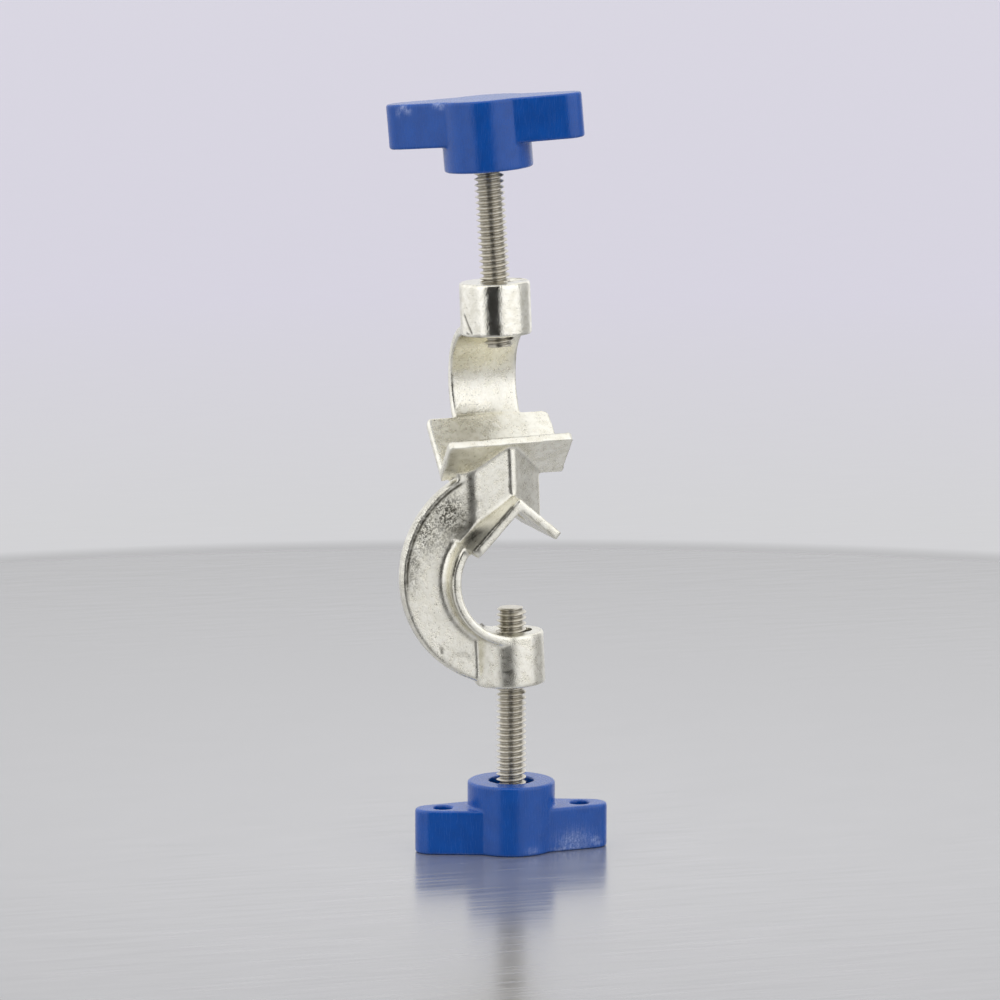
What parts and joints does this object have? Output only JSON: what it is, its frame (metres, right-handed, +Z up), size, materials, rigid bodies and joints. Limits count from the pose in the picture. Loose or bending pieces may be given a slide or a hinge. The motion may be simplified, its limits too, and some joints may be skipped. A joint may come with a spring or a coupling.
{
  "type": "boss head clamp",
  "caption": "Laboratory boss head clamp: a cast body with two V jaws at right angles holds two crossed rods, each pressed home by a thumbscrew with a plastic wing knob.",
  "frame": {"origin": "centre of the lower knob's flat outer face, on the lower screw's axis", "axes": "+Z up along the lower screw, from the knob it stands on to the upper knob; the upper jaw's rod runs along X and the lower jaw's along Y; the arm of the lower jaw is on the -X side, and the picture is taken from the -Y side"},
  "size_m": [0.0471, 0.0379, 0.1667],
  "materials": {
    "nickel_casting": "nickel plated, as cast, with fine pitting",
    "nickel_steel": "nickel plated thread",
    "blue_plastic": "satin moulded plastic"
  },
  "bodies": {
    "casting": {"clamp_body": "nickel_casting"},
    "lower_stud": {"lower_screw": "nickel_steel"},
    "lower_grip": {"lower_knob": "blue_plastic"},
    "upper_stud": {"upper_screw": "nickel_steel"},
    "upper_grip": {"upper_knob": "blue_plastic"}
  },
  "joints": [
    {"name": "lower_advance", "type": "slide", "parent": "casting", "child": "lower_stud", "axis": [0, 0, 1], "range_m": [-0.01144, 0.01906]},
    {"name": "lower_turn", "type": "hinge", "parent": "lower_stud", "child": "lower_grip", "pos_m": [0, 0, 0], "axis": [0, 0, 1], "range_deg": [-3240, 5400]},
    {"name": "upper_advance", "type": "slide", "parent": "casting", "child": "upper_stud", "axis": [0.0628, 0, -0.998], "range_m": [-0.0089, 0.02224]},
    {"name": "upper_turn", "type": "hinge", "parent": "upper_stud", "child": "upper_grip", "pos_m": [-0.00615, 0, 0.16546], "axis": [0.0628, 0, -0.998], "range_deg": [-2520, 6300]}
  ],
  "couplings": [
    {"joint": "lower_advance", "follows": "lower_turn", "m_per_rad": 0.00020213},
    {"joint": "upper_advance", "follows": "upper_turn", "m_per_rad": 0.00020213}
  ]
}
